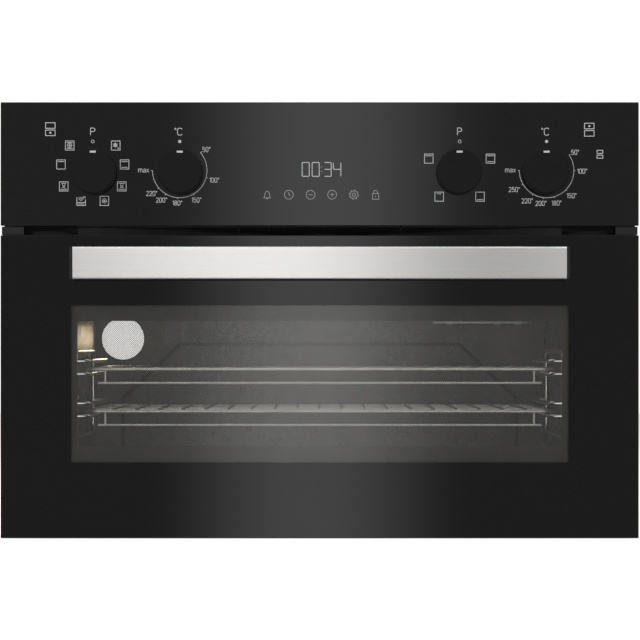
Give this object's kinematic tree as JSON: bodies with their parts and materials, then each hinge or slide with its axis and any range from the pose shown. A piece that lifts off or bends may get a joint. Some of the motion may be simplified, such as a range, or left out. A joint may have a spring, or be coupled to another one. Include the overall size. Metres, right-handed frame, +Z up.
{
  "type": "built-in electric oven",
  "caption": "Built-in oven module with black glass control panel, drop-down glass door, steel bar handle and a lit cavity with wire shelves.",
  "frame": {"origin": "middle of the bounding box's base: midway across the front, midway between the handle's face and the rear, at the base panel's underside", "axes": "+X to the right seen from the front, the front faces -Y, +Z up"},
  "size_m": [0.594, 0.609, 0.4063],
  "materials": {
    "black_glass": "polished black-printed float glass",
    "clear_glass": "clear heat-resistant glass with a dark printed border",
    "black_paint": "satin black paint",
    "black_plastic": "matt black moulded plastic",
    "knob_black": "fine matt black plastic",
    "brushed_handle": "fine brushed along its length",
    "galvanised_steel": "bare zinc-coated sheet, faint spangle",
    "zinc_steel": "bright zinc plate",
    "spring_steel": "oiled spring steel",
    "black_enamel": "smooth black enamel",
    "grey_enamel": "speckled dark grey vitreous enamel",
    "seal_rubber": "soft silicone rubber",
    "mineral_wool": "fibrous mineral wool",
    "fan_aluminium": "plain pressed aluminium",
    "motor_steel": "laminated steel",
    "heater_steel": "dull heat-tinted tube",
    "ceramic_white": "unglazed ceramic",
    "lamp_glow": "frosted, lit",
    "lens_glass": "frosted heat-resistant glass",
    "probe_steel": "plain steel tube",
    "chrome_wire": "bright plated wire",
    "switch_plastic": "pale heat-resistant plastic"
  },
  "bodies": {
    "root": {"hinge_arms": "galvanised_steel", "hinge_receivers": "galvanised_steel", "front_frame": "black_enamel", "door_seal": "seal_rubber", "cavity_liner": "grey_enamel", "cavity_back": "grey_enamel", "side_panel_left": "galvanised_steel", "side_panel_right": "galvanised_steel", "top_cover": "galvanised_steel", "rear_cover": "galvanised_steel", "base_panel": "galvanised_steel", "insulation_blanket": "mineral_wool", "heat_shield_tray": "galvanised_steel", "air_duct": "galvanised_steel", "fan_housing": "galvanised_steel", "fan_motor": "motor_steel", "vent_trim": "black_plastic", "grill_element": "heater_steel", "base_element": "heater_steel", "lamp_holder": "ceramic_white", "lamp_bulb": "lamp_glow", "lamp_lens": "lens_glass", "thermostat_probe": "probe_steel", "probe_clips": "probe_steel", "shelf_ladder_left": "chrome_wire", "shelf_ladder_right": "chrome_wire", "control_panel_glass": "black_glass", "panel_bracket": "black_plastic", "timer_module": "black_plastic", "function_switches": "switch_plastic", "thermostats": "zinc_steel", "terminal_block": "switch_plastic", "cable_gland": "black_plastic", "casing_screws": "zinc_steel"},
    "door": {"door_outer_glass": "black_glass", "door_inner_glass": "clear_glass", "door_top_profile": "black_paint", "door_side_profile_left": "galvanised_steel", "door_side_profile_right": "galvanised_steel", "door_bottom_profile": "black_paint", "inner_glass_clips": "black_plastic", "handle_bar": "brushed_handle", "handle_supports": "black_plastic", "handle_screws": "zinc_steel", "hinge_channels": "galvanised_steel", "hinge_pins": "zinc_steel", "hinge_springs": "spring_steel"},
    "shelf_upper": {"wire_shelf_upper": "chrome_wire", "shelf_rail_upper": "chrome_wire"},
    "shelf_lower": {"wire_shelf_lower": "chrome_wire", "shelf_rail_lower": "chrome_wire"},
    "fan": {"fan_rotor": "fan_aluminium"},
    "function_knob_left": {"function_knob_left": "knob_black", "function_spindle_left": "zinc_steel"},
    "temperature_knob_left": {"temperature_knob_left": "knob_black", "temperature_spindle_left": "zinc_steel"},
    "function_knob_right": {"function_knob_right": "knob_black", "function_spindle_right": "zinc_steel"},
    "temperature_knob_right": {"temperature_knob_right": "knob_black", "temperature_spindle_right": "zinc_steel"}
  },
  "joints": [
    {"name": "door_hinge", "type": "hinge", "parent": "root", "child": "door", "pos_m": [0, -0.248, 0.01], "axis": [1, 0, 0], "range_deg": [0, 90], "stiffness_Nm_per_rad": 3, "springref_deg": -45.84},
    {"name": "upper_shelf_slide", "type": "slide", "parent": "root", "child": "shelf_upper", "axis": [0, -1, 0], "range_m": [0, 0.034]},
    {"name": "lower_shelf_slide", "type": "slide", "parent": "root", "child": "shelf_lower", "axis": [0, -1, 0], "range_m": [0, 0.034]},
    {"name": "fan_spin", "type": "hinge", "parent": "root", "child": "fan", "pos_m": [0, 0.12, 0.28], "axis": [0, 0, 1], "continuous": true},
    {"name": "function_knob_left_turn", "type": "hinge", "parent": "root", "child": "function_knob_left", "pos_m": [-0.21, -0.2625, 0.3414], "axis": [0, 1, 0], "continuous": true},
    {"name": "temperature_knob_left_turn", "type": "hinge", "parent": "root", "child": "temperature_knob_left", "pos_m": [-0.1295, -0.2625, 0.3414], "axis": [0, 1, 0], "range_deg": [0, 270]},
    {"name": "function_knob_right_turn", "type": "hinge", "parent": "root", "child": "function_knob_right", "pos_m": [0.1295, -0.2625, 0.3414], "axis": [0, 1, 0], "continuous": true},
    {"name": "temperature_knob_right_turn", "type": "hinge", "parent": "root", "child": "temperature_knob_right", "pos_m": [0.21, -0.2625, 0.3414], "axis": [0, 1, 0], "range_deg": [0, 270]}
  ]
}
